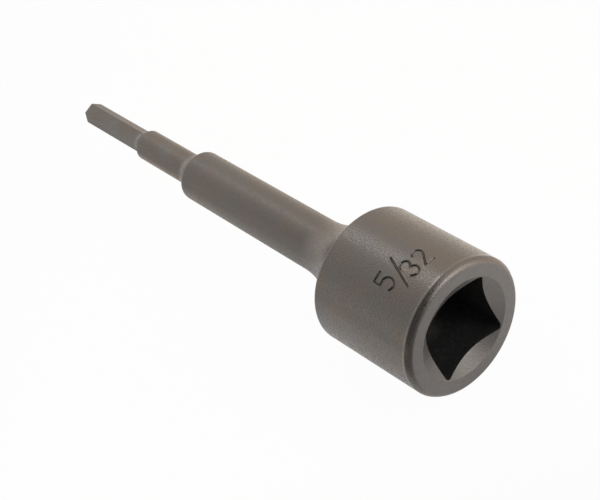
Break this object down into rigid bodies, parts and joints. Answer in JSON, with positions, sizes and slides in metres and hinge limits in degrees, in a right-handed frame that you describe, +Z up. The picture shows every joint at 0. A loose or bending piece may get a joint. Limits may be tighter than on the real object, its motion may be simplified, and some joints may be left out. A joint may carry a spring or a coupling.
{
  "type": "hex bit socket",
  "caption": "Hex bit socket: round head with a square drive socket, flared neck, long round shank and a slim hexagon blade with a lightly bevelled tip, for turning socket-head screws.",
  "frame": {"origin": "under the middle of the tool's length, on the surface that the drive head lies on", "axes": "+X along the tool's axis from the hexagon tip to the drive face, +Z up, drive flats parallel to Y and Z"},
  "size_m": [0.1046, 0.0238, 0.0239],
  "materials": {
    "body_steel": "dark phosphated alloy steel, satin grey-brown with a fine mottled grain",
    "bit_steel": "dark phosphated tool steel, satin grey-brown, slightly lighter than the body"
  },
  "bodies": {
    "root": {"socket_body": "body_steel", "hex_bit": "bit_steel"}
  },
  "joints": []
}
